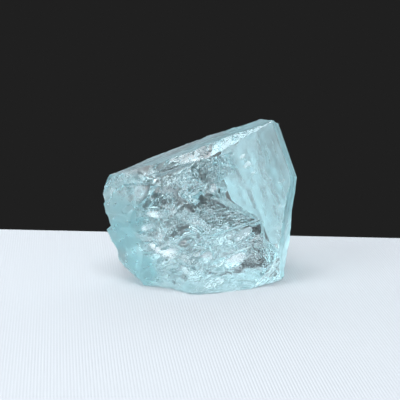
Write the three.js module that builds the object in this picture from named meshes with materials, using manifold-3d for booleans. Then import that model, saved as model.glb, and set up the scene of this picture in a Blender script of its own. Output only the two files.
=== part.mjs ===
// A blue topaz crystal: the end of one prism, with its basal face on top, its front prism face on the
// right, and broken surfaces on the left and below. It rests on a small flat of its broken foot.

import * as THREE from 'three';
import { mergeVertices } from 'three/addons/utils/BufferGeometryUtils.js';
import Module from 'manifold-3d';

const wasm = await Module();
wasm.setup();

// Lengths are in millimetres and angles in degrees. The crystal is cut in its own axes: x along the long
// side of the basal face, y from the front face to the back, z up the prism. Then it leans as it rests.
const basalHeight = 21.65;
const prismFoot = -9;
const leanLeft = 19.5;
const leanBack = 7;
const restLevel = -0.4;

// The cross-section of the whole prism: front face, narrow right face, and the two faces behind.
const prismOutline = [
  [-14, -6.0],
  [19.7, 5.5],
  [20.75, 11.2],
  [11.4, 18.4],
  [-4, 14.6],
  [-14, 8],
];

// Flat surfaces that bound the piece: a point on each one and the way it faces.
const flats = {
  frontBevel: { point: [9.4, 1.95, 19.9], facing: [0.19, -0.8, 0.6] },
  rightLower: { point: [17.2, 10.5, 3.9], facing: [0.86, -0.29, -0.42] },
  rightLowerBack: { point: [16.2, 10.4, 1.9], facing: [0.78, 0.42, -0.43] },
  cornerChip: { point: [13.0, 3.4, 1.1], facing: [0.42, -0.66, -0.62] },
  topCornerChip: { point: [19.7, 11, 20.95], facing: [0.6, 0.1, 0.8] },
  leftTopCorner: { point: [-8.7, 9, 20.4], facing: [-0.58, -0.2, 0.79] },
  leftEnd: { point: [-11.2, 6.5, 11.5], facing: [-0.99, -0.12, 0.02] },
  leftFoot: { point: [-10.2, 6, 7.6], facing: [-0.88, -0.28, -0.38] },
  frontMiddle: { point: [4, 0.6, 6], facing: [-0.08, -0.99, 0.03] },
  frontLeft: { point: [-4, 2.2, 10], facing: [-0.4, -0.91, 0.06] },
  frontLeftTurn: { point: [-8.6, 5.2, 14], facing: [-0.76, -0.64, 0.05] },
  frontTopLeft: { point: [-3.4, 6.0, 21.0], facing: [-0.56, -0.68, 0.48] },
  backFoot: { point: [4, 15, 0], facing: [-0.1, 0.95, -0.3] },
};

// Steps in the break: what lies beyond all the flats of a step comes away.
const steps = {
  leftNotch: [
    { point: [-10.35, 7, 15.5], facing: [-0.99, -0.1, 0.03] },
    { point: [-11, 7, 13.1], facing: [-0.3, -0.2, 0.93] },
  ],
  frontTip: [
    { point: [10.5, 2.3, 10.7], facing: [-0.42, -0.8, -0.54] },
    { point: [13.0, 3.0, 7.5], facing: [0.12, -0.3, 0.95] },
    { point: [9.2, 2.9, 10.5], facing: [0.27, -0.95, 0.1] },
  ],
  underBevel: [
    { point: [10.4, 2.6, 18], facing: [0, -1, 0.1] },
    { point: [8.0, 2.4, 15.6], facing: [-0.2, -0.3, 0.93] },
    { point: [9.4, 3.0, 17.5], facing: [0.1, -0.97, 0.1] },
    { point: [9.4, 2.0, 19.5], facing: [-0.1, 0.1, -0.99] },
  ],
};

// Shell-like hollows in the break: the deepest point of each one, the way it opens, and its radius.
const hollows = {
  besideFrontFace: { deepest: [6.8, 2.2, 12.4], opening: [-0.12, -0.96, 0.2], radius: 10 },
  middle: { deepest: [1.4, 1.9, 8.4], opening: [-0.12, -0.98, -0.08], radius: 12 },
  lowerRight: { deepest: [9.6, 2.6, 3.9], opening: [0.05, -0.95, -0.3], radius: 8 },
  lowerMiddle: { deepest: [4.6, 1.2, 3.0], opening: [-0.1, -0.93, -0.3], radius: 9 },
  lowerLeft: { deepest: [-4.2, 3.2, 5.6], opening: [-0.42, -0.9, -0.12], radius: 12 },
  leftMiddle: { deepest: [-3.4, 3.0, 13.2], opening: [-0.4, -0.9, 0.16], radius: 12 },
  topMiddle: { deepest: [0.4, 2.4, 16.0], opening: [-0.22, -0.93, 0.2], radius: 9 },
  topLeft: { deepest: [-4.8, 6.0, 19.0], opening: [-0.48, -0.74, 0.46], radius: 12 },
  leftTurn: { deepest: [-8.2, 5.6, 10.5], opening: [-0.7, -0.7, -0.05], radius: 10 },
};

const crystalAxisZ = new THREE.Vector3(0, 0, 1);
const lean = new THREE.Matrix4().makeRotationFromEuler(new THREE.Euler(
  -THREE.MathUtils.degToRad(leanBack),
  -THREE.MathUtils.degToRad(leanLeft),
  0,
  'XYZ',
));

function toSolid(geometry) {
  const bare = geometry.clone();
  bare.deleteAttribute('normal');
  bare.deleteAttribute('uv');
  const merged = mergeVertices(bare);
  return new wasm.Manifold(new wasm.Mesh({
    numProp: 3,
    vertProperties: new Float32Array(merged.attributes.position.array),
    triVerts: new Uint32Array(merged.index.array),
  }));
}

function toGeometry(solid) {
  const mesh = solid.getMesh();
  const geometry = new THREE.BufferGeometry();
  geometry.setAttribute('position', new THREE.BufferAttribute(mesh.vertProperties, 3));
  geometry.setIndex(new THREE.BufferAttribute(mesh.triVerts, 1));
  return geometry;
}

function wholePrism() {
  const outline = new THREE.Shape(prismOutline.map(([x, y]) => new THREE.Vector2(x, y)));
  const prism = new THREE.ExtrudeGeometry(outline, {
    depth: basalHeight - prismFoot,
    bevelEnabled: false,
  });
  return toSolid(prism.translate(0, 0, prismFoot));
}

// A thick slab whose inner side is the flat, for cutting away what lies beyond it.
const slabSide = 90;
const slabThickness = 40;
function beyond({ point, facing }) {
  const out = new THREE.Vector3(...facing).normalize();
  const slab = new THREE.BoxGeometry(slabSide, slabSide, slabThickness);
  slab.applyQuaternion(new THREE.Quaternion().setFromUnitVectors(crystalAxisZ, out));
  const middle = new THREE.Vector3(...point).addScaledVector(out, slabThickness / 2);
  return toSolid(slab.translate(middle.x, middle.y, middle.z));
}

// A ball of even triangles that touches the deepest point of the hollow.
const ballDetail = 19;
function ball({ deepest, opening, radius }) {
  const out = new THREE.Vector3(...opening).normalize();
  const centre = new THREE.Vector3(...deepest).addScaledVector(out, radius);
  const round = new THREE.IcosahedronGeometry(radius, ballDetail);
  return toSolid(round.translate(centre.x, centre.y, centre.z));
}

function brokenCrystal() {
  let solid = wholePrism();
  for (const flat of Object.values(flats)) {
    solid = solid.subtract(beyond(flat));
  }
  for (const step of Object.values(steps)) {
    const chip = step.map(beyond).reduce((whole, part) => whole.intersect(part));
    solid = solid.subtract(chip);
  }
  for (const hollow of Object.values(hollows)) {
    solid = solid.subtract(ball(hollow));
  }
  return solid;
}

function restOnFoot(solid) {
  const leaning = toSolid(toGeometry(solid).applyMatrix4(lean));
  return leaning.subtract(beyond({ point: [0, 0, restLevel], facing: [0, 0, -1] }));
}

const geometry = toGeometry(restOnFoot(brokenCrystal()));
geometry.computeBoundingBox();
const middle = geometry.boundingBox.getCenter(new THREE.Vector3());
geometry.translate(-middle.x, -middle.y, -geometry.boundingBox.min.z);
geometry.computeVertexNormals();

const paleBlueTopaz = new THREE.MeshStandardMaterial({
  color: 0xa9d2d8,
  roughness: 0.15,
  metalness: 0,
});

const crystal = new THREE.Mesh(geometry, paleBlueTopaz);
crystal.name = 'topaz_crystal';

const topaz = new THREE.Group();
topaz.add(crystal);

export default topaz;
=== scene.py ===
# A blue topaz crystal resting on a pale cloth, with a dark room behind it.
import math
import random
import bmesh
import bpy
import numpy as np
from mathutils import Matrix, Vector


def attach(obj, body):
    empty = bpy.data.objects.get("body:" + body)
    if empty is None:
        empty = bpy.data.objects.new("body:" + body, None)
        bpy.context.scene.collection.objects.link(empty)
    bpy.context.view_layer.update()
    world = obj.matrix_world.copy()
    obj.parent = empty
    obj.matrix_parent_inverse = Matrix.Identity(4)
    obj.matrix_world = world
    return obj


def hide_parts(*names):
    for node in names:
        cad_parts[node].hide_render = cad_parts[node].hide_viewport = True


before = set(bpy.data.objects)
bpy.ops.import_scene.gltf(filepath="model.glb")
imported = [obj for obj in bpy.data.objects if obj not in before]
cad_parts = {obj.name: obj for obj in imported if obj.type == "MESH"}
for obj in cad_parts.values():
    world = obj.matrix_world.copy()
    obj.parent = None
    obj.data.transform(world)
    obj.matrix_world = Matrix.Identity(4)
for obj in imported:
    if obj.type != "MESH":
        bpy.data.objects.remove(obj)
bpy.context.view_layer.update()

mm = 0.001
scene = bpy.context.scene

# The stone is shaped in its own axes, in millimetres: x along the long side of the top face,
# y from the front face to the back, z up the prism. At the end it is leaned and set into the frame.
crystal = {
    "leanLeft": 19.5,                    # degrees
    "leanBack": 7.0,
    "origin": (0.125, -10.962, 0.4),     # where the stone's own axes start in the frame
    "topHeight": 21.65,
    "spareHeight": 1.0,                  # above the top face, cut away with it
    "foot": -9.0,
    "rowHeight": 1.4,                    # the prism's side is built in rows and columns of this size
    "columnWidth": 0.19,
    "creaseAngle": 24,                   # degrees; edges sharper than this stay sharp
}

# Sides of the prism: the corner where each one starts, its finish, and how deep and wide
# its growth lines are.
sides = [
    {"corner": (-14, -6.0), "finish": "grown", "depth": 0.035, "lines": 0.9},
    {"corner": (19.7, 5.5), "finish": "etched", "depth": 0.05, "lines": 0.9},
    {"corner": (20.75, 11.2), "finish": "etched", "depth": 0.07, "lines": 1.1},
    {"corner": (11.4, 18.4), "finish": "back", "depth": 0.8, "lines": 1.6},
    {"corner": (-4, 14.6), "finish": "back", "depth": 0.8, "lines": 1.6},
    {"corner": (-14, 8), "finish": "back", "depth": 0.08, "lines": 1.0},
]

# Each kind of surface: how rough it is, how strongly its fine hackle shows, and how much of the
# deeper blue it has.
finishes = {
    "grown": {"rough": 0.05, "hackle": 0.0, "bluer": 0.0},
    "etched": {"rough": 0.5, "hackle": 0.0, "bluer": 0.5},
    "topFace": {"rough": 0.45, "hackle": 0.1, "bluer": 0.45},
    "bevel": {"rough": 0.13, "hackle": 0.2, "bluer": 0.2},
    "broken": {"rough": 0.06, "hackle": 1.0, "bluer": 0.0},
    "frosted": {"rough": 0.38, "hackle": 0.05, "bluer": 1.0},
    "back": {"rough": 0.42, "hackle": 0.1, "bluer": 0.0},
    "worn": {"rough": 0.2, "hackle": 0.1, "bluer": 0.0},
    "foot": {"rough": 0.6, "hackle": 0.5, "bluer": 0.5},
}


# Steady noise on a plane, worked out for whole arrays at a time. Sizes are in millimetres, and each
# pattern has a seed of its own.
def scatter(i, j, seed):
    n = (i * 374761393 + j * 668265263 + seed * 974711 + 12345) & 0x7fffffff
    n = ((n ^ (n >> 13)) * 1274126177) & 0x7fffffff
    return ((n ^ (n >> 16)) & 0xffff) / 65535.0


def softNoise(x, z, size, seed):
    u, v = x / size, z / size
    i, j = np.floor(u).astype(np.int64), np.floor(v).astype(np.int64)
    s, t = u - i, v - j
    s, t = s * s * (3 - 2 * s), t * t * (3 - 2 * t)
    low = scatter(i, j, seed) * (1 - s) + scatter(i + 1, j, seed) * s
    high = scatter(i, j + 1, seed) * (1 - s) + scatter(i + 1, j + 1, seed) * s
    return (low * (1 - t) + high * t) * 2 - 1


# Shallow bowls that meet in sharp ridges, each one tilted its own way.
def scallops(x, z, size, tilt, bowl, seed):
    u, v = x / size, z / size
    i, j = np.floor(u).astype(np.int64), np.floor(v).astype(np.int64)
    deepest = np.full(np.shape(u), -9.0)         # lower than any bowl
    for di in (-1, 0, 1):
        for dj in (-1, 0, 1):
            ci, cj = i + di, j + dj
            du = u - ci - scatter(ci, cj, seed)
            dv = v - cj - scatter(ci, cj, seed + 1)
            leanU = (scatter(ci, cj, seed + 2) * 2 - 1) * tilt
            leanV = (scatter(ci, cj, seed + 3) * 2 - 1) * tilt
            deepest = np.maximum(deepest, du * leanU + dv * leanV - bowl * (du * du + dv * dv))
    return deepest * size


def turned(x, z, degrees, stretch):
    c, s = math.cos(math.radians(degrees)), math.sin(math.radians(degrees))
    return (x * c + z * s) / stretch, z * c - x * s


def smoothStep(low, high, value):
    t = np.clip((value - low) / (high - low), 0, 1)
    return t * t * (3 - 2 * t)


# Depth of a flat or a ball-shaped hollow, looking along y.
def flatDepth(point, facing, x, z):
    (px, py, pz), (nx, ny, nz) = point, facing
    return py - (nx * (x - px) + nz * (z - pz)) / ny


def hollowDepth(deepest, opening, radius, x, z):
    out = Vector(opening).normalized()
    cx, cy, cz = Vector(deepest) + out * radius
    inside = radius * radius - (x - cx) ** 2 - (z - cz) ** 2
    noHollow = -1e3
    return np.where(inside > 0, cy + np.sqrt(np.maximum(inside, 0)), noHollow)


def softMax(a, b, rounding):
    blend = np.clip(0.5 + (a - b) / (2 * rounding), 0, 1)
    return a * blend + b * (1 - blend) + rounding * blend * (1 - blend)


# A break is given in the stone's axes. It is worked out looking along its own y, into the stone.
def breakDepth(shape, view, x, z):
    inward = view.inverted()
    turn = inward.to_3x3()

    def local(flat):
        return inward @ Vector(flat[0]), turn @ Vector(flat[1])

    depth = None
    for flat in shape["flats"]:
        here = flatDepth(*local(flat), x, z)
        depth = here if depth is None else softMax(depth, here, shape["rounding"])
    for step in shape["steps"]:
        away = None
        for flat in step:
            here = flatDepth(*local(flat), x, z)
            away = here if away is None else np.minimum(away, here)
        depth = np.maximum(depth, away)
    for deepest, opening, radius in shape["hollows"]:
        here = hollowDepth(inward @ Vector(deepest), turn @ Vector(opening), radius, x, z)
        depth = np.maximum(depth, here)
    return depth


# Scars are shallow chips on top of the break: place, length and width, turn, depth, and lean up and right.
def scarDepth(scars, x, z):
    total = np.zeros(np.shape(x))
    for (cx, cz), (length, width), degrees, deep, leanX, leanZ in scars:
        u, v = turned(x - cx, z - cz, degrees, 1)
        away = (u / length) ** 2 + (v / width) ** 2
        chip = deep * (1 - away) + (leanX * (x - cx) + leanZ * (z - cz)) * np.clip(1.4 - away, 0, 1)
        total = total + np.where(away < 1.4, np.maximum(chip, 0), 0)
    return total


# How far along a line each of its points lies.
def travelledAlong(points):
    return np.concatenate(([0], np.cumsum(np.hypot(*np.diff(points, axis=0).T))))


# Meshes. Each kind of surface has a label, and a cut passes its label on to the faces it leaves.
labels = {name: bpy.data.materials.new(name) for name in finishes}


def meshObject(name, verts, faces, faceLabels):
    mesh = bpy.data.meshes.new(name)
    mesh.from_pydata(verts, [], faces)
    for label in labels.values():
        mesh.materials.append(label)
    order = list(labels)
    if isinstance(faceLabels, str):
        faceLabels = [faceLabels] * len(faces)
    mesh.polygons.foreach_set("material_index", [order.index(label) for label in faceLabels])
    mesh.update()
    obj = bpy.data.objects.new(name, mesh)
    scene.collection.objects.link(obj)
    return obj


def grid(low, high, spacing):
    return np.linspace(low, high, round((high - low) / spacing) + 1)


# How far a cutting block goes past the stone: sideways past its grid, and outwards.
cutting = {"reach": 45, "far": -30}      # millimetres


# A block whose inner side, the one facing +y, is the surface y = depth.
def sheetBlock(name, xs, zs, depth, label, view):
    far = cutting["far"]
    x, z = np.meshgrid(xs, zs)
    surface = depth(x, z)
    verts = [tuple(v) for v in np.stack([x, surface, z], -1).reshape(-1, 3).tolist()]
    row, rows = len(xs), len(zs)
    faces = [(j * row + i + row, j * row + i + row + 1, j * row + i + 1, j * row + i)
             for j in range(rows - 1) for i in range(row - 1)]
    corner = len(verts)
    verts += [(xs[0], far, zs[0]), (xs[-1], far, zs[0]), (xs[-1], far, zs[-1]), (xs[0], far, zs[-1])]
    last = (rows - 1) * row
    faces.append(tuple(range(row)) + (corner + 1, corner))
    faces.append(tuple(reversed(range(last, last + row))) + (corner + 3, corner + 2))
    faces.append(tuple(reversed(range(0, last + 1, row))) + (corner, corner + 3))
    faces.append(tuple(range(row - 1, last + row, row)) + (corner + 2, corner + 1))
    faces.append((corner, corner + 1, corner + 2, corner + 3))
    obj = meshObject(name, verts, faces, label)
    obj.data.transform(view)
    return obj


# The view that looks straight at a flat.
def facingView(point, facing):
    inward = -Vector(facing).normalized()
    across = inward.cross(Vector((0, 0, 1)))
    if across.length < 1e-3:
        across = Vector((1, 0, 0))
    across.normalize()
    up = across.cross(inward)
    turn = Matrix((across, inward, up)).transposed().to_4x4()
    return Matrix.Translation(Vector(point)) @ turn


def cutAway(body, tool):
    cut = body.modifiers.new("cut", "BOOLEAN")
    cut.operation = "DIFFERENCE"
    cut.solver = "MANIFOLD"
    cut.material_mode = "INDEX"
    cut.object = tool
    done = bpy.data.meshes.new_from_object(body.evaluated_get(bpy.context.evaluated_depsgraph_get()))
    body.modifiers.clear()
    old = body.data
    body.data = done
    bpy.data.meshes.remove(old)
    bpy.data.objects.remove(tool)


# Cut the stone to a flat that has its own relief, or break it off along a shape.
def cutToFlat(name, flat, depth, view):
    reach = cutting["reach"]
    xs, zs = (np.concatenate(([-reach], grid(-half, half, flat["spacing"]), [reach]))
              for half in flat["half"])
    cutAway(body, sheetBlock(name, xs, zs, depth, flat["finish"], view))


def breakOff(name, shape, depth, view):
    xs, zs = (grid(low, high, shape["spacing"]) for low, high in (shape["across"], shape["up"]))
    cutAway(body, sheetBlock(name, xs, zs, depth, shape["finish"], view))


# The whole prism, with growth lines running up its sides.
def prism():
    corners = [Vector(side["corner"]) for side in sides]
    points, finish, outward, strength, pitch = [], [], [], [], []
    for k, side in enumerate(sides):
        start, end = corners[k], corners[(k + 1) % len(sides)]
        along = (end - start).normalized()
        steps = max(2, round((end - start).length / crystal["columnWidth"]))
        for i in range(steps):
            points.append(start.lerp(end, i / steps))
            outward.append((along.y, -along.x) if i else (0, 0))
            finish.append(side["finish"])
            strength.append(side["depth"])
            pitch.append(side["lines"])
    points, outward = np.array([tuple(p) for p in points]), np.array(outward)
    strength, pitch = np.array(strength), np.array(pitch)
    travelled = travelledAlong(points)
    fullHeight = crystal["topHeight"] + crystal["spareHeight"] - crystal["foot"]
    rows = math.ceil(fullHeight / crystal["rowHeight"])
    verts = []
    for j in range(rows + 1):
        z = crystal["foot"] + j * crystal["rowHeight"]
        height = np.full(len(points), float(z))
        wide = scallops(travelled / pitch, height / 16, 1, 0.5, 0.35, 11)
        fine = softNoise(travelled, height / 9, 0.42, 12) * 0.35
        relief = -(wide + fine) * strength
        place = points + outward * relief[:, None]
        verts += [(px, py, z) for px, py in place.tolist()]
    count = len(points)
    faces, faceLabels = [], []
    for j in range(rows):
        for i in range(count):
            faces.append((j * count + i, j * count + (i + 1) % count,
                          (j + 1) * count + (i + 1) % count, (j + 1) * count + i))
            faceLabels.append(finish[i])
    faces += [tuple(reversed(range(count))), tuple(range(rows * count, (rows + 1) * count))]
    faceLabels += ["foot", "grown"]
    return meshObject("topaz", verts, faces, faceLabels)


# Flats that bound the stone, each with its own relief.
flats = {
    "topFace": {
        "point": (4, 8, crystal["topHeight"]), "facing": (0, 0, 1),
        "half": (17, 12), "spacing": 0.2, "finish": "topFace", "relief": "terraces"},
    "frontBevel": {
        "point": (9.4, 1.95, 19.9), "facing": (0.19, -0.8, 0.6),
        "half": (15, 4), "spacing": 0.13, "finish": "bevel", "relief": "etched"},
    "topCornerChip": {
        "point": (19.7, 11, 20.95), "facing": (0.6, 0.1, 0.8),
        "half": (5, 3), "spacing": 0.16, "finish": "broken", "relief": "shell"},
    "rightLower": {
        "point": (17.2, 10.5, 3.9), "facing": (0.86, -0.29, -0.42),
        "half": (8, 9), "spacing": 0.17, "finish": "etched", "relief": "shell"},
    "rightLowerBack": {
        "point": (16.2, 10.4, 1.9), "facing": (0.78, 0.42, -0.43),
        "half": (9, 9), "spacing": 0.19, "finish": "frosted", "relief": "rough"},
    "cornerChip": {
        "point": (13.0, 3.4, 1.1), "facing": (0.42, -0.66, -0.62),
        "half": (7, 7), "spacing": 0.14, "finish": "broken", "relief": "torn"},
    "backFoot": {
        "point": (4, 15, 0), "facing": (-0.1, 0.95, -0.3),
        "half": (17, 9), "spacing": 0.2, "finish": "worn", "relief": "shell"},
}


def terraces(x, z):
    slow = softNoise(x, z, 4.5, 31) + softNoise(x * 1.3, z, 1.7, 32) * 0.35
    level = np.floor(slow * 3) / 3
    return level * 0.22 + 0.16 + softNoise(x, z, 0.6, 33) * 0.012


def etchedFlat(x, z):
    u, v = turned(x, z, 62, 2.6)
    streaks = softNoise(u, v, 0.5, 41) * 0.05 + softNoise(x, z, 3.0, 43) * 0.06
    return streaks + scallops(u, v, 0.9, 0.7, 0.4, 42) * 0.04 + 0.03


def shellFlat(x, z):
    away = np.hypot(x + 6, z - 7)
    ripple = np.sin(away * 2.6 + softNoise(x, z, 2.5, 51) * 1.4) * 0.05
    return ripple + scallops(x, z, 3.4, 0.5, 0.5, 52) * 0.12 + softNoise(x, z, 0.7, 53) * 0.015


def roughFlat(x, z):
    u, v = turned(x, z, 25, 1.7)
    return (scallops(u, v, 2.6, 0.9, 0.7, 61) * 0.3 + scallops(u, v, 0.9, 0.9, 0.7, 62) * 0.3
            + softNoise(x, z, 0.5, 63) * 0.05)


def tornFlat(x, z):
    u, v = turned(x + softNoise(x, z, 1.7, 55) * 0.4, z, 38, 3.2)
    return (scallops(u, v, 1.1, 1.3, 0.4, 56) * 0.3 + scallops(u, v, 0.5, 1.4, 0.4, 57) * 0.22
            + softNoise(x, z, 2.5, 58) * 0.1)


reliefs = {
    "terraces": terraces,
    "etched": etchedFlat,
    "shell": shellFlat,
    "rough": roughFlat,
    "torn": tornFlat,
}

body = prism()
for name, flat in flats.items():
    cutToFlat(name, flat, reliefs[flat["relief"]], facingView(flat["point"], flat["facing"]))
print("prism cut to its flats:", len(body.data.polygons), "faces")


# The back is ridged across its length, with plainer places between.
backBreak = {
    "flats": [
        ((3.7, 16.5, 10), (-0.24, 0.97, 0)),
        ((-9, 11.3, 10), (-0.55, 0.835, 0)),
    ],
    "steps": [],
    "hollows": [],
    "rounding": 0.3,
    "ridgeHeight": 2.6,
    "ridgeDepth": 1.3,
    "plain": [                           # places with almost no ridges: middle, reach
        ((8.4, 16.6), 3.2), ((6.8, 10.8), 3.4), ((9.2, 8.6), 3.0), ((11.4, 7.2), 2.0),
        ((11.2, 3.5), 2.6), ((-1.0, 14.1), 2.6), ((1.2, 12.3), 1.3), ((-1.0, 10.7), 1.3),
    ],
    "across": (-23, 16),
    "up": (-12, 24),
    "spacing": 0.2,
    "finish": "back",
}
backView = Matrix.Rotation(math.radians(180), 4, "Z")


def backDepth(x, z):
    wave = (z + softNoise(x / 2, z, 2.5, 65) * 1.2) / backBreak["ridgeHeight"]
    ridges = np.abs((wave - np.floor(wave)) * 2 - 1) * backBreak["ridgeDepth"]
    relief = 0.15 + ridges + scallops(x, z, 1.4, 1.5, 0.5, 66) * 0.1
    shown = (0.1 + 0.9 * smoothStep(21.2, 18.5, z)) * (0.4 + 0.6 * smoothStep(11.5, 8.5, x))
    for (cx, cz), reach in backBreak["plain"]:
        away = np.hypot(x + cx, z - cz) + softNoise(x, z, 1.5, 68) * 0.5
        shown = shown * (0.12 + 0.88 * smoothStep(reach * 0.7, reach * 1.2, away))
    return breakDepth(backBreak, backView, x, z) + 0.04 + relief * shown


breakOff("backBreak", backBreak, backDepth, backView)
print("back ridged:", len(body.data.polygons), "faces")

# The break across the left end.
leftBreak = {
    "flats": [
        ((-8.7, 9, 20.4), (-0.58, -0.2, 0.79)),
        ((-11.2, 6.5, 11.5), (-0.99, -0.12, 0.02)),
        ((-10.2, 6, 7.6), (-0.88, -0.28, -0.38)),
    ],
    "steps": [
        [((-10.35, 7, 15.5), (-0.99, -0.1, 0.03)),
         ((-11, 7, 13.1), (-0.3, -0.2, 0.93))],
    ],
    "hollows": [],
    "scars": [                           # place, size, turn, depth, lean
        ((-8.0, 9.8), (3.4, 1.6), 20, 0.35, 0, 0.1),
        ((-5.5, 17.5), (3.0, 2.2), -10, 0.3, 0, 0),
    ],
    "rounding": 0.5,
    "across": (-20, 8),
    "up": (-12, 24),
    "spacing": 0.16,
    "finish": "frosted",
}
leftView = Matrix.Rotation(math.radians(-90), 4, "Z")


def leftDepth(x, z):
    u, v = turned(x, z, 10, 1.4)
    relief = (scallops(u, v, 3.2, 0.8, 0.5, 71) * 0.2 + scallops(u, v, 1.3, 0.9, 0.6, 72) * 0.22
              + softNoise(x, z, 0.5, 73) * 0.03)
    return breakDepth(leftBreak, leftView, x, z) + scarDepth(leftBreak["scars"], x, z) + relief


breakOff("leftBreak", leftBreak, leftDepth, leftView)
print("left end broken:", len(body.data.polygons), "faces")

# The break across the front.
frontBreak = {
    "flats": [
        ((4, 0.6, 6), (-0.08, -0.99, 0.03)),
        ((-4, 2.2, 10), (-0.4, -0.91, 0.06)),
        ((-8.6, 5.2, 14), (-0.76, -0.64, 0.05)),
        ((-3.4, 6.0, 21.0), (-0.56, -0.68, 0.48)),
    ],
    "steps": [
        [((10.5, 2.3, 10.7), (-0.42, -0.8, -0.54)),
         ((13.0, 3.0, 7.5), (0.12, -0.3, 0.95)),
         ((9.2, 2.9, 10.5), (0.27, -0.95, 0.1))],
        [((10.4, 2.6, 18), (0.0, -1.0, 0.1)),
         ((8.0, 2.4, 15.6), (-0.2, -0.3, 0.93)),
         ((9.4, 3.0, 17.5), (0.1, -0.97, 0.1)),
         ((9.4, 2.6, 19.45), (-0.1, -0.12, -0.98))],
        [((9.6, 2.75, 5.6), (0.25, -0.95, -0.1)),
         ((12.6, 3.0, 5.2), (-0.92, -0.3, 0.2)),
         ((10.6, 3.0, 7.35), (0.05, -0.15, -0.98))],
    ],
    "hollows": [                         # deepest point, the way it opens, radius
        ((6.8, 2.2, 12.4), (-0.12, -0.96, 0.2), 10),
        ((1.4, 1.9, 8.4), (-0.12, -0.98, -0.08), 12),
        ((10.2, 3.6, 3.2), (0.1, -0.9, -0.4), 8),
        ((4.6, 1.2, 3.0), (-0.1, -0.93, -0.3), 9),
        ((-4.2, 3.2, 5.6), (-0.42, -0.9, -0.12), 12),
        ((-3.4, 3.0, 13.2), (-0.4, -0.9, 0.16), 12),
        ((0.4, 2.4, 16.0), (-0.22, -0.93, 0.2), 9),
        ((-4.8, 6.0, 19.0), (-0.48, -0.74, 0.46), 12),
        ((-8.2, 5.6, 10.5), (-0.7, -0.7, -0.05), 10),
    ],
    "scars": [                           # place, size, turn, depth, lean
        ((-4.6, 19.1), (2.6, 0.7), -14, 0.22, 0, 0.1),
        ((-0.6, 15.3), (2.8, 1.3), 8, 0.4, 0, -0.1),
        ((-2.3, 13.9), (2.2, 1.1), -20, 0.4, 0, 0.45),
        ((0.2, 12.4), (3.0, 0.6), 30, 0.4, 0, 0),
        ((-5.2, 9.6), (2.0, 1.3), -20, 0.45, 0.1, 0.45),
        ((-1.6, 7.0), (2.8, 1.2), -38, 0.5, 0, 0.45),
        ((2.4, 5.4), (2.0, 1.8), 20, 0.45, 0, 0.25),
        ((-2.4, 4.6), (2.2, 1.7), -30, 0.4, 0, 0.3),
        ((6.8, 2.7), (3.4, 1.3), 8, 0.45, 0, 0.45),
        ((2.7, 0.6), (2.4, 1.4), 0, 0.35, 0, 0.3),
        ((7.2, 14.9), (1.6, 1.0), 40, 0.3, 0, 0.4),
        ((0.7, 9.0), (1.8, 1.3), 10, 0.35, 0, 0.1),
    ],
    "flakes": [                          # flat flakes: place, size, turn, slope right and up
        ((-4.6, 9.0), (1.9, 0.8), -28, 0.24, 0.72),
        ((-2.4, 7.6), (2.2, 0.9), -34, 0.2, 0.84),
        ((-0.2, 5.6), (1.7, 0.7), -38, 0.1, 0.4),
        ((4.9, 3.3), (1.6, 0.7), -12, 0.2, 0.8),
        ((7.0, 2.8), (2.2, 0.9), 8, 0.1, 0.34),
        ((-2.4, 14.0), (1.6, 0.6), -18, 0.24, 0.8),
        ((-4.4, 12.4), (1.1, 0.5), 10, 0.2, 0.86),
        ((-5.2, 10.7), (1.0, 0.5), -20, 0.07, 0.36),
        ((7.5, 14.9), (0.9, 0.45), 40, 0.26, 0.84),
        ((9.4, 6.3), (1.6, 0.6), 18, 0.22, 0.78),
        ((7.6, 6.9), (0.8, 0.4), 30, 0.1, 0.36),
        ((2.6, 0.7), (1.8, 0.7), 0, 0.05, 0.36),
        ((3.0, 10.9), (0.9, 0.4), -20, 0.24, 0.8),
        ((3.6, 16.6), (0.9, 0.4), 25, 0.2, 0.76),
        ((-6.6, 15.9), (1.0, 0.5), 12, -0.2, 0.5),
    ],
    "smooth": [                          # places with little hackle: middle, reach, what is left of it
        ((-7, 19), 6.5, 0.25), ((-10, 9), 4.0, 0.2), ((2.6, 5.2), 2.0, 0.3), ((-2.4, 4.4), 2.2, 0.3),
        ((2.7, 0.6), 2.4, 0.35), ((0.8, 9.0), 2.2, 0.2), ((-3.6, 8.0), 2.2, 0.3), ((6.8, 2.7), 2.0, 0.35),
        ((-4.5, 15.5), 2.4, 0.25), ((4.5, 15.0), 1.6, 0.3),
    ],
    "fine": [                            # places that are flat under a fine hackle: middle, reach
        ((8.8, 17.7), 3.0), ((7.2, 12.0), 3.0), ((9.8, 9.9), 2.6), ((-0.6, 15.3), 2.4), ((0.2, 12.2), 2.4),
        ((11.4, 2.7), 2.3), ((11.6, 8.4), 1.7),
    ],
    "satin": [                           # places with a satin finish: middle, reach, how much
        ((-11, 13.5), 8.0, 1.0), ((-9, 6), 5.0, 1.0), ((-6.5, 19), 4.0, 0.6), ((-4.5, 16.5), 4.5, 0.5),
    ],
    "rounding": 0.4,
    "across": (-17, 22),
    "up": (-12, 24),
    "spacing": 0.12,
    "finish": "broken",
}


def crackle(x, z):
    wx = x + softNoise(x, z, 2.3, 81) * 0.7
    wz = z + softNoise(x, z, 2.3, 82) * 0.7
    u, v = turned(wx, wz, -28, 1.8)
    big = scallops(u, v, 2.4, 1.2, 0.3, 83)
    u, v = turned(wx, wz, -40, 1.6)
    middle = scallops(u, v, 1.1, 1.4, 0.3, 84)
    u, v = turned(wx, wz, -12, 1.5)
    small = -scallops(u, v, 0.45, 1.5, 0.4, 85)
    return big, middle, small


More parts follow.
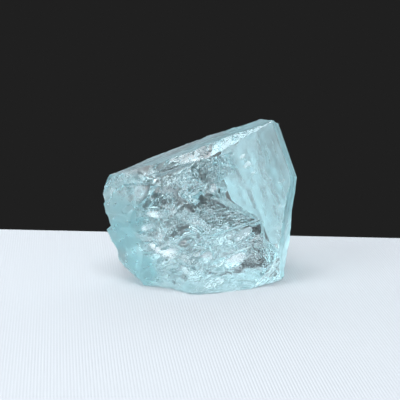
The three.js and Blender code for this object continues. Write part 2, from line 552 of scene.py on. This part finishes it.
# How strong the coarse and the fine hackle are across the front, from 0 to 1.
def hackleOver(x, z):
    fine = 0.34 + softNoise(x, z, 2.6, 89) * 0.2
    coarse = np.ones(np.shape(x))
    for (cx, cz), reach in frontBreak["fine"]:
        away = np.hypot(x - cx, z - cz) + softNoise(x, z, 1.3, 90) * 0.6
        inside = smoothStep(reach * 1.2, reach * 0.6, away)
        fine = fine + (1 - fine) * inside
        coarse = coarse * (1 - 0.85 * inside)
    for (cx, cz), reach, left in frontBreak["smooth"]:
        away = np.hypot(x - cx, z - cz) + softNoise(x, z, 1.3, 86) * 0.5
        shown = left + (1 - left) * smoothStep(reach * 0.7, reach * 1.2, away)
        fine, coarse = fine * shown, coarse * shown
    underTop = 0.08 + 0.92 * smoothStep(20.1, 19.1, z)
    return coarse * underTop, fine * underTop


def satinOver(x, z):
    satin = np.zeros(np.shape(x))
    for (cx, cz), reach, much in frontBreak["satin"]:
        away = np.hypot(x - cx, z - cz) + softNoise(x, z, 1.3, 93) * 0.6
        satin = np.maximum(satin, smoothStep(reach * 1.1, reach * 0.5, away) * much)
    return satin


def frontDepth(x, z):
    coarse, fine = hackleOver(x, z)
    big, middle, small = crackle(x, z)
    depth = breakDepth(frontBreak, Matrix(), x, z) + scarDepth(frontBreak["scars"], x, z)
    for (cx, cz), (length, width), degrees, slopeX, slopeZ in frontBreak["flakes"]:
        u, v = turned(x - cx, z - cz, degrees, 1)
        away = np.hypot(u / length, v / width) + softNoise(x, z, 0.6, 94) * 0.15
        inside = smoothStep(1.12, 0.94, away)
        here = float(breakDepth(frontBreak, Matrix(), np.array([[cx]]), np.array([[cz]]))[0, 0])
        flake = here + 0.15 + slopeX * (x - cx) + slopeZ * (z - cz)
        depth = depth + (flake - depth) * inside
        coarse, fine = coarse * (1 - 0.85 * inside), fine * (1 - 0.6 * inside)
    relief = (big * 0.22 + middle * 0.06) * coarse + (middle * 0.03 + small * 0.12) * fine
    gentle = scallops(x, z, 2.8, 0.6, 0.5, 87) * 0.12 + softNoise(x, z, 0.8, 88) * 0.02
    return depth + relief + gentle


breakOff("frontBreak", frontBreak, frontDepth, Matrix())
print("front broken:", len(body.data.polygons), "faces")

# Cracks inside the stone: thin gaps. Each has a middle, the way it faces, its outline about the
# middle going round anticlockwise as seen from that side, its thickness, how far it waves, and
# its finish.
cracks = {
    "cornerFeather": {"middle": (12.2, 9.13, 11), "facing": (0.61, 0.79, 0),
                      "outline": [(3.6, 9.3), (-5.1, 9.0), (-5.1, -8.5), (-3.1, -9.5), (-0.3, -8.2),
                                  (0.1, -6.5), (0.1, -4.1), (4.1, -1.0), (5.05, 0.3), (5.0, 2.0),
                                  (5.6, 4.6), (4.4, 8.0)],
                      "thick": 0.12, "wave": 0.16, "finish": "back"},
    "flakeLow": {"middle": (13.4, 5.2, 16.0), "facing": (0.1, -0.67, 0.73),
                 "outline": [(0.5, -0.7), (0.8, -0.1), (0.4, 0.9), (-0.3, 0.4), (-0.8, 0.3), (-0.5, -0.5)],
                 "thick": 0.1, "wave": 0.35, "finish": "etched"},
    "flakeHigh": {"middle": (13.2, 5.1, 17.6), "facing": (-0.1, -0.67, 0.73),
                  "outline": [(0.4, -0.6), (0.6, 0.5), (-0.5, 0.4), (-0.4, -0.4)],
                  "thick": 0.08, "wave": 0.3, "finish": "etched"},
    "flakeSmall": {"middle": (14.0, 4.9, 14.7), "facing": (0.2, -0.6, 0.78),
                   "outline": [(0.5, -0.2), (0.2, 0.4), (-0.4, 0.3), (-0.3, -0.3)],
                   "thick": 0.06, "wave": 0.2, "finish": "etched"},
    "cleavageHigh": {"middle": (17.8, 6.5, 11.85), "facing": (0.03, -0.1, 0.98),
                     "outline": [(0.8, -0.8), (0.7, 0.7), (-0.6, 0.8), (-0.8, -0.7)],
                     "thick": 0.1, "wave": 0.08, "finish": "broken"},
    "cleavageMiddle": {"middle": (16.6, 5.5, 8.3), "facing": (-0.05, -0.2, 0.98),
                       "outline": [(1.1, -0.9), (0.8, 0.8), (-0.8, 0.9), (-1.0, -0.8)],
                       "thick": 0.1, "wave": 0.08, "finish": "broken"},
    "cleavageLow": {"middle": (15.0, 5.0, 5.2), "facing": (0.08, -0.2, 0.98),
                    "outline": [(0.9, -0.8), (0.7, 0.7), (-0.9, 0.8), (-0.8, -0.7)],
                    "thick": 0.1, "wave": 0.08, "finish": "broken"},
}

# Thin tubes that run up the prism behind its front face.
tubes = {
    "count": 26,
    "left": 12.2,
    "right": 19.0,
    "low": 6.0,
    "high": 18.6,
    "length": (0.9, 3.4),
    "width": 0.09,
    "behind": (0.7, 2.4),
    "lean": 3.0,                         # degrees
    "finish": "grown",
}


# A lens-shaped gap: two skins that meet at a thin edge.
def lensGap(name, crack, seed):
    outline = np.array(crack["outline"])
    reach = np.hypot(outline[:, 0], outline[:, 1]).max()
    rings, spokes = (14, 60) if reach > 3 else (5, 20)       # a large gap has a finer mesh
    corners = np.vstack([outline, outline[:1]])
    gone = travelledAlong(corners)
    places = np.linspace(0, gone[-1], spokes, endpoint=False)
    edge = np.stack([np.interp(places, gone, corners[:, k]) for k in (0, 1)], -1)
    edge = edge * (1 + softNoise(edge[:, 0], edge[:, 1], reach / 6, seed) * 0.12)[:, None]
    flat, away = [(0.0, 0.0)], [0.0]
    for ring in range(1, rings + 1):
        flat += (edge * ring / rings).tolist()
        away += [ring / rings] * spokes
    x, z = np.array(flat).T
    away = np.array(away)
    wave = (softNoise(x, z / 3, 1.1, seed + 1) + softNoise(x, z, 4.0, seed + 2)) * crack["wave"]
    half = crack["thick"] / 2 * (1 - away ** 4)
    verts = np.stack([x, wave - half, z], -1).tolist()
    back = {}
    for k in range(len(flat) - spokes):
        back[k] = len(verts)
        verts.append([x[k], wave[k] + half[k], z[k]])
    faces = []
    for spoke in range(spokes):
        after = (spoke + 1) % spokes
        faces.append((0, 1 + spoke, 1 + after))
        faces.append((back[0], back[1 + after], back[1 + spoke]))
        for ring in range(1, rings):
            a, b = 1 + (ring - 1) * spokes + spoke, 1 + (ring - 1) * spokes + after
            c, d = a + spokes, b + spokes
            faces.append((a, c, d, b))
            faces.append((back[a], back[b], back.get(d, d), back.get(c, c)))
    obj = meshObject(name, [tuple(v) for v in verts], faces, crack["finish"])
    obj.data.transform(facingView(crack["middle"], crack["facing"]))
    return obj


for k, (name, crack) in enumerate(cracks.items()):
    cutAway(body, lensGap(name, crack, 101 + k * 5))     # each crack takes three seeds of its own

chance = random.Random(7)
(leftX, leftY), (rightX, rightY) = sides[0]["corner"], sides[1]["corner"]
frontSlope = (rightY - leftY) / (rightX - leftX)
for k in range(tubes["count"]):
    x = tubes["left"] + (tubes["right"] - tubes["left"]) * (k + chance.uniform(0.1, 0.9)) / tubes["count"]
    y = rightY - frontSlope * (rightX - x) + chance.uniform(*tubes["behind"])
    z = chance.uniform(tubes["low"], tubes["high"])
    half = chance.uniform(*tubes["length"]) / 2
    aside = chance.gauss(0, tubes["lean"]) * math.pi / 180 * half
    wide = tubes["width"] / 2
    tube = {
        "middle": (x, y, z),
        "facing": (0.3, -0.95, 0),
        "outline": [(wide - aside, -half), (wide + aside, half),
                    (aside - wide, half), (-aside - wide, -half)],
        "thick": tubes["width"],
        "wave": 0,
        "finish": tubes["finish"],
    }
    cutAway(body, lensGap("tube", tube, 0))
print("cracks made:", len(body.data.polygons), "faces")

# Lean the stone as it rests, and break its foot: it touches the cloth here and there.
lean = (Matrix.Translation(Vector(crystal["origin"]))
        @ Matrix.Rotation(math.radians(-crystal["leanBack"]), 4, "X")
        @ Matrix.Rotation(math.radians(-crystal["leanLeft"]), 4, "Y"))
body.data.transform(lean)
foot = {"half": (18, 12), "spacing": 0.2, "finish": "foot", "hollow": 0.14}
footView = Matrix.Rotation(math.radians(90), 4, "X")


def footDepth(x, z):
    relief = scallops(x, z, 3.5, 0.5, 0.6, 91) * 0.2 + scallops(x, z, 1.1, 0.7, 0.7, 92) * 0.2
    return np.maximum(relief + foot["hollow"], 0.0)


cutToFlat("foot", foot, footDepth, footView)
print("stone leaned and its foot broken:", len(body.data.polygons), "faces")

# The cuts leave slivers along their edges, with next to no area. They are closed up, and any face
# that then hangs on by one edge is taken off.
sliver = 0.004                           # millimetres
trimmed = bmesh.new()
trimmed.from_mesh(body.data)
bmesh.ops.triangulate(trimmed, faces=[face for face in trimmed.faces if len(face.verts) > 4])
bmesh.ops.dissolve_degenerate(trimmed, dist=sliver, edges=trimmed.edges)
hanging = [face for face in trimmed.faces if any(edge.is_boundary for edge in face.edges)]
bmesh.ops.delete(trimmed, geom=hanging, context="FACES")
trimmed.to_mesh(body.data)
trimmed.free()
print("slivers closed:", len(body.data.polygons), "faces")

# Each face keeps the finish of its kind of surface. The front has its own maps of hackle
# and satin.
mesh = body.data
indices = np.zeros(len(mesh.polygons), dtype=np.int32)
mesh.polygons.foreach_get("material_index", indices)
middles = np.zeros(len(mesh.polygons) * 3)
mesh.polygons.foreach_get("center", middles)
turn = np.array(lean.inverted())
middles = middles.reshape(-1, 3) @ turn[:3, :3].T + turn[:3, 3]
rough, hackle, bluer = (np.array([finishes[name][quality] for name in labels])[indices]
                        for quality in ("rough", "hackle", "bluer"))
front = indices == list(labels).index("broken")
satin = satinOver(middles[:, 0], middles[:, 2])
rough = np.where(front, rough + (finishes["frosted"]["rough"] - rough) * satin, rough)
hackle = np.where(front, hackleOver(middles[:, 0], middles[:, 2])[1] * (1 - 0.7 * satin), hackle)
bluer = np.where(front, satin, bluer)
for quality, values in (("rough", rough), ("hackle", hackle), ("bluer", bluer)):
    mesh.attributes.new(quality, "FLOAT", "FACE").data.foreach_set("value", values)
mesh.transform(Matrix.Scale(mm, 4))
mesh.polygons.foreach_set("material_index", np.zeros(len(mesh.polygons), dtype=np.int32))
mesh.polygons.foreach_set("use_smooth", np.ones(len(mesh.polygons), dtype=bool))
mesh.materials.clear()
mesh.set_sharp_from_angle(angle=math.radians(crystal["creaseAngle"]))
print("finishes given to", len(mesh.polygons), "faces")

stone = {
    "ior": 1.62,
    "tint": (0.3, 0.92, 0.985, 1),
    "depthOfTint": 19,
    "satinTint": (0.6, 0.97, 1, 1),
    "hackleSize": 0.34,                  # millimetres, as are the next two
    "hackleDepth": 0.19,
    "patchSize": 3.0,
    "streak": 0.4,                       # how far the hackle is drawn out; 1 is not at all
    "grainScale": 900,
    "grain": (0.7, 1.35),                # how the roughness varies
}


# Fine angular hackle that comes and goes in patches, as a height. It is drawn out into streaks.
def hackleGroup():
    group = bpy.data.node_groups.new("hackle", "ShaderNodeTree")
    for socket in ("Amount", "Size", "Depth", "Patch Size", "Streak"):
        group.interface.new_socket(socket, in_out="INPUT", socket_type="NodeSocketFloat")
    group.interface.new_socket("Height", in_out="OUTPUT", socket_type="NodeSocketFloat")
    nodes, links = group.nodes, group.links
    given = nodes.new("NodeGroupInput")
    result = nodes.new("NodeGroupOutput")
    place = nodes.new("ShaderNodeTexCoord")

    def calculate(operation, a, b):
        node = nodes.new("ShaderNodeMath")
        node.operation = operation
        for socket, value in zip(node.inputs, (a, b)):
            if isinstance(value, (int, float)):
                socket.default_value = value
            else:
                links.new(value, socket)
        return node.outputs["Value"]

    perMetre = calculate("DIVIDE", 1 / mm, given.outputs["Size"])
    warp = nodes.new("ShaderNodeTexNoise")
    warp.inputs["Detail"].default_value = 1
    links.new(place.outputs["Object"], warp.inputs["Vector"])
    links.new(calculate("MULTIPLY", perMetre, 0.5), warp.inputs["Scale"])
    bent = nodes.new("ShaderNodeVectorMath")
    bent.operation = "MULTIPLY_ADD"
    bent.inputs[1].default_value = (0.6 * mm, 0.6 * mm, 0.6 * mm)     # how far it is bent
    links.new(warp.outputs["Color"], bent.inputs[0])
    links.new(place.outputs["Object"], bent.inputs[2])
    patch = nodes.new("ShaderNodeTexNoise")
    patch.inputs["Detail"].default_value = 2
    links.new(place.outputs["Object"], patch.inputs["Vector"])
    links.new(calculate("DIVIDE", 1 / mm, given.outputs["Patch Size"]), patch.inputs["Scale"])
    facets = nodes.new("ShaderNodeTexVoronoi")              # each facet's streaks run their own way
    links.new(bent.outputs["Vector"], facets.inputs["Vector"])
    links.new(calculate("DIVIDE", 0.6 / mm, given.outputs["Patch Size"]), facets.inputs["Scale"])
    split = nodes.new("ShaderNodeSeparateColor")
    links.new(facets.outputs["Color"], split.inputs["Color"])
    streaked = nodes.new("ShaderNodeVectorRotate")
    streaked.rotation_type = "Y_AXIS"
    links.new(bent.outputs["Vector"], streaked.inputs["Vector"])
    links.new(calculate("MULTIPLY", split.outputs["Red"], 2.2), streaked.inputs["Angle"])
    drawn = nodes.new("ShaderNodeVectorMath")
    drawn.operation = "MULTIPLY"
    links.new(streaked.outputs["Vector"], drawn.inputs[0])
    stretch = nodes.new("ShaderNodeCombineXYZ")
    links.new(given.outputs["Streak"], stretch.inputs["X"])
    stretch.inputs["Y"].default_value = 1
    stretch.inputs["Z"].default_value = 1
    links.new(stretch.outputs["Vector"], drawn.inputs[1])
    chips = nodes.new("ShaderNodeTexVoronoi")
    chips.distance = "MANHATTAN"
    links.new(drawn.outputs["Vector"], chips.inputs["Vector"])
    links.new(perMetre, chips.inputs["Scale"])
    shown = nodes.new("ShaderNodeMapRange")
    shown.inputs["From Min"].default_value = 0.42           # below this a patch is nearly bare
    shown.inputs["From Max"].default_value = 0.6
    shown.inputs["To Min"].default_value = 0.35
    links.new(patch.outputs["Fac"], shown.inputs["Value"])
    strength = calculate("MULTIPLY", shown.outputs["Result"], given.outputs["Amount"])
    depth = calculate("MULTIPLY", strength, calculate("MULTIPLY", given.outputs["Depth"], mm))
    links.new(calculate("MULTIPLY", chips.outputs["Distance"], depth), result.inputs["Height"])
    return group


def blueTopaz():
    material = bpy.data.materials.new("blueTopaz")
    material.use_nodes = True
    nodes, links = material.node_tree.nodes, material.node_tree.links
    shader = nodes["Principled BSDF"]
    shader.inputs["Transmission Weight"].default_value = 1.0
    shader.inputs["IOR"].default_value = stone["ior"]
    bluer = nodes.new("ShaderNodeAttribute")
    bluer.attribute_name = "bluer"
    colour = nodes.new("ShaderNodeMix")
    colour.data_type = "RGBA"
    colour.inputs["A"].default_value = (1, 1, 1, 1)
    colour.inputs["B"].default_value = stone["satinTint"]
    links.new(bluer.outputs["Fac"], colour.inputs["Factor"])
    links.new(colour.outputs["Result"], shader.inputs["Base Color"])
    rough = nodes.new("ShaderNodeAttribute")
    rough.attribute_name = "rough"
    amount = nodes.new("ShaderNodeAttribute")
    amount.attribute_name = "hackle"
    place = nodes.new("ShaderNodeTexCoord")
    grain = nodes.new("ShaderNodeTexNoise")
    grain.inputs["Scale"].default_value = stone["grainScale"]
    grain.inputs["Detail"].default_value = 4
    links.new(place.outputs["Object"], grain.inputs["Vector"])
    vary = nodes.new("ShaderNodeMapRange")
    vary.inputs["From Min"].default_value = 0.35
    vary.inputs["From Max"].default_value = 0.65
    vary.inputs["To Min"].default_value, vary.inputs["To Max"].default_value = stone["grain"]
    links.new(grain.outputs["Fac"], vary.inputs["Value"])
    varied = nodes.new("ShaderNodeMath")
    varied.operation = "MULTIPLY"
    links.new(rough.outputs["Fac"], varied.inputs[0])
    links.new(vary.outputs["Result"], varied.inputs[1])
    links.new(varied.outputs["Value"], shader.inputs["Roughness"])
    hackle = nodes.new("ShaderNodeGroup")
    hackle.node_tree = hackleGroup()
    links.new(amount.outputs["Fac"], hackle.inputs["Amount"])
    hackle.inputs["Size"].default_value = stone["hackleSize"]
    hackle.inputs["Depth"].default_value = stone["hackleDepth"]
    hackle.inputs["Patch Size"].default_value = stone["patchSize"]
    hackle.inputs["Streak"].default_value = stone["streak"]
    bump = nodes.new("ShaderNodeBump")
    bump.inputs["Strength"].default_value = 1
    bump.inputs["Distance"].default_value = 1
    links.new(hackle.outputs["Height"], bump.inputs["Height"])
    links.new(bump.outputs["Normal"], shader.inputs["Normal"])
    tint = nodes.new("ShaderNodeVolumeAbsorption")
    tint.inputs["Color"].default_value = stone["tint"]
    tint.inputs["Density"].default_value = stone["depthOfTint"]
    links.new(tint.outputs["Volume"], nodes["Material Output"].inputs["Volume"])
    return material


mesh.materials.append(blueTopaz())
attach(body, "root")
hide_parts("topaz_crystal")
triangles = sum(len(face.vertices) - 2 for face in mesh.polygons)
print("stone set down:", len(mesh.polygons), "faces,", triangles, "triangles")

# The stage: a cloth-covered table whose far edge is just behind the stone.
stage = {"size": (0.7, 0.42, 0.03), "farEdge": 0.0235, "turn": -4.4}     # metres, degrees
bpy.ops.mesh.primitive_cube_add(size=1)
floor = bpy.context.object
floor.name = "cloth"
floor.data.transform(Matrix.Translation((0, -0.5, -0.5)))    # its far top edge is at its origin
floor.scale = stage["size"]
floor.location = (0, stage["farEdge"], 0)
floor.rotation_euler = (0, 0, math.radians(stage["turn"]))
cloth = {
    "pale": (0.53, 0.55, 0.57, 1),
    "dark": (0.5, 0.52, 0.54, 1),
    "threads": 2.3,                      # per millimetre
    "turn": 38,                          # degrees
    "relief": 0.03,                      # millimetres
}


# A plain weave: threads over and under, as a mask that is 1 on top of a thread.
def weaveGroup():
    group = bpy.data.node_groups.new("weave", "ShaderNodeTree")
    group.interface.new_socket("Threads per mm", in_out="INPUT", socket_type="NodeSocketFloat")
    group.interface.new_socket("Turn", in_out="INPUT", socket_type="NodeSocketFloat")
    group.interface.new_socket("Mask", in_out="OUTPUT", socket_type="NodeSocketFloat")
    nodes, links = group.nodes, group.links
    given = nodes.new("NodeGroupInput")
    result = nodes.new("NodeGroupOutput")
    place = nodes.new("ShaderNodeTexCoord")
    swung = nodes.new("ShaderNodeVectorRotate")
    swung.rotation_type = "Z_AXIS"
    links.new(place.outputs["Object"], swung.inputs["Vector"])
    links.new(given.outputs["Turn"], swung.inputs["Angle"])
    scaled = nodes.new("ShaderNodeVectorMath")
    scaled.operation = "SCALE"
    links.new(swung.outputs["Vector"], scaled.inputs[0])
    perMetre = nodes.new("ShaderNodeMath")
    perMetre.operation = "MULTIPLY"
    perMetre.inputs[1].default_value = math.pi / mm
    links.new(given.outputs["Threads per mm"], perMetre.inputs[0])
    links.new(perMetre.outputs["Value"], scaled.inputs["Scale"])
    split = nodes.new("ShaderNodeSeparateXYZ")
    links.new(scaled.outputs["Vector"], split.inputs["Vector"])
    waves = []
    for axis in ("X", "Y"):
        wave = nodes.new("ShaderNodeMath")
        wave.operation = "SINE"
        links.new(split.outputs[axis], wave.inputs[0])
        waves.append(wave.outputs["Value"])
    both = nodes.new("ShaderNodeMath")
    both.operation = "MULTIPLY"
    links.new(waves[0], both.inputs[0])
    links.new(waves[1], both.inputs[1])
    mask = nodes.new("ShaderNodeMapRange")
    mask.inputs["From Min"].default_value = -1
    links.new(both.outputs["Value"], mask.inputs["Value"])
    links.new(mask.outputs["Result"], result.inputs["Mask"])
    return group


def clothMaterial():
    material = bpy.data.materials.new("cloth")
    material.use_nodes = True
    nodes, links = material.node_tree.nodes, material.node_tree.links
    shader = nodes["Principled BSDF"]
    shader.inputs["Roughness"].default_value = 0.9
    weave = nodes.new("ShaderNodeGroup")
    weave.node_tree = weaveGroup()
    weave.inputs["Threads per mm"].default_value = cloth["threads"]
    weave.inputs["Turn"].default_value = math.radians(cloth["turn"])
    colour = nodes.new("ShaderNodeMix")
    colour.data_type = "RGBA"
    colour.inputs["A"].default_value = cloth["dark"]
    colour.inputs["B"].default_value = cloth["pale"]
    links.new(weave.outputs["Mask"], colour.inputs["Factor"])
    links.new(colour.outputs["Result"], shader.inputs["Base Color"])
    bump = nodes.new("ShaderNodeBump")
    bump.inputs["Strength"].default_value = 1
    bump.inputs["Distance"].default_value = cloth["relief"] * mm
    links.new(weave.outputs["Mask"], bump.inputs["Height"])
    links.new(bump.outputs["Normal"], shader.inputs["Normal"])
    return material


floor.data.materials.append(clothMaterial())
print("cloth laid")

# A room that is dark up to the horizon and grows pale above it.
room = {"dark": (0.0145, 0.0145, 0.0145, 1), "pale": (0.46, 0.48, 0.51, 1), "rise": (0.0, 0.4)}
world = bpy.data.worlds.new("studio")
scene.world = world
world.use_nodes = True
worldNodes, worldLinks = world.node_tree.nodes, world.node_tree.links
direction = worldNodes.new("ShaderNodeTexCoord")
parts = worldNodes.new("ShaderNodeSeparateXYZ")
worldLinks.new(direction.outputs["Generated"], parts.inputs["Vector"])
rise = worldNodes.new("ShaderNodeMapRange")
rise.interpolation_type = "SMOOTHSTEP"
rise.inputs["From Min"].default_value, rise.inputs["From Max"].default_value = room["rise"]
worldLinks.new(parts.outputs["Z"], rise.inputs["Value"])
mix = worldNodes.new("ShaderNodeMix")
mix.data_type = "RGBA"
mix.inputs["A"].default_value = room["dark"]
mix.inputs["B"].default_value = room["pale"]
worldLinks.new(rise.outputs["Result"], mix.inputs["Factor"])
worldLinks.new(mix.outputs["Result"], worldNodes["Background"].inputs["Color"])


# Softboxes round the stone: place, size, radiance.
softboxes = {
    "overhead": ((-0.02, -0.08, 0.44), (0.28, 0.16), 8.5),
    "key": ((-0.32, -0.2, 0.28), (0.26, 0.26), 4.6),
    "front": ((-0.05, -0.5, 0.34), (0.26, 0.18), 6.0),
    "behindTop": ((0.0, 0.34, 0.34), (0.5, 0.2), 1.6),
    "behindLeft": ((-0.46, 0.18, 0.16), (0.3, 0.26), 2.6),
    "behindRight": ((0.36, 0.34, 0.16), (0.3, 0.26), 1.2),
    "right": ((0.29, -0.4, 0.12), (0.26, 0.16), 2.1),
}
softboxColour = (0.92, 0.96, 1)
softboxAim = Vector((0, 0, 0.01))


def softbox(name, place, size, radiance):
    light = bpy.data.lights.new(name, "AREA")
    light.shape = "RECTANGLE"
    light.size, light.size_y = size
    light.energy = radiance * size[0] * size[1] * math.pi
    light.color = softboxColour
    obj = bpy.data.objects.new(name, light)
    scene.collection.objects.link(obj)
    obj.location = place
    obj.rotation_euler = (softboxAim - Vector(place)).to_track_quat("-Z", "Y").to_euler()
    obj.visible_camera = False


for name, (place, size, radiance) in softboxes.items():
    softbox(name, place, size, radiance)
print("lights set:", len(softboxes), "softboxes")

# The camera looks a little down on the stone, along y.
view = {"lens": 100, "elevation": 15, "distance": 174, "aimHeight": 14.84}   # millimetres, degrees
camera = bpy.data.objects.new("camera", bpy.data.cameras.new("camera"))
scene.collection.objects.link(camera)
camera.data.lens = view["lens"]
camera.data.clip_start = 0.005
elevation = math.radians(view["elevation"])
up = Vector((0, math.sin(elevation), math.cos(elevation)))
back = Vector((0, -math.cos(elevation), math.sin(elevation)))
aim = up * view["aimHeight"] + Vector(crystal["origin"])
camera.location = (aim + back * view["distance"]) * mm
camera.rotation_euler = (-back).to_track_quat("-Z", "Y").to_euler()
scene.camera = camera
print("camera set")

scene.view_settings.view_transform = "Standard"
scene.cycles.max_bounces = 24
scene.cycles.transmission_bounces = 20
scene.cycles.glossy_bounces = 12
scene.cycles.sample_clamp_indirect = 20
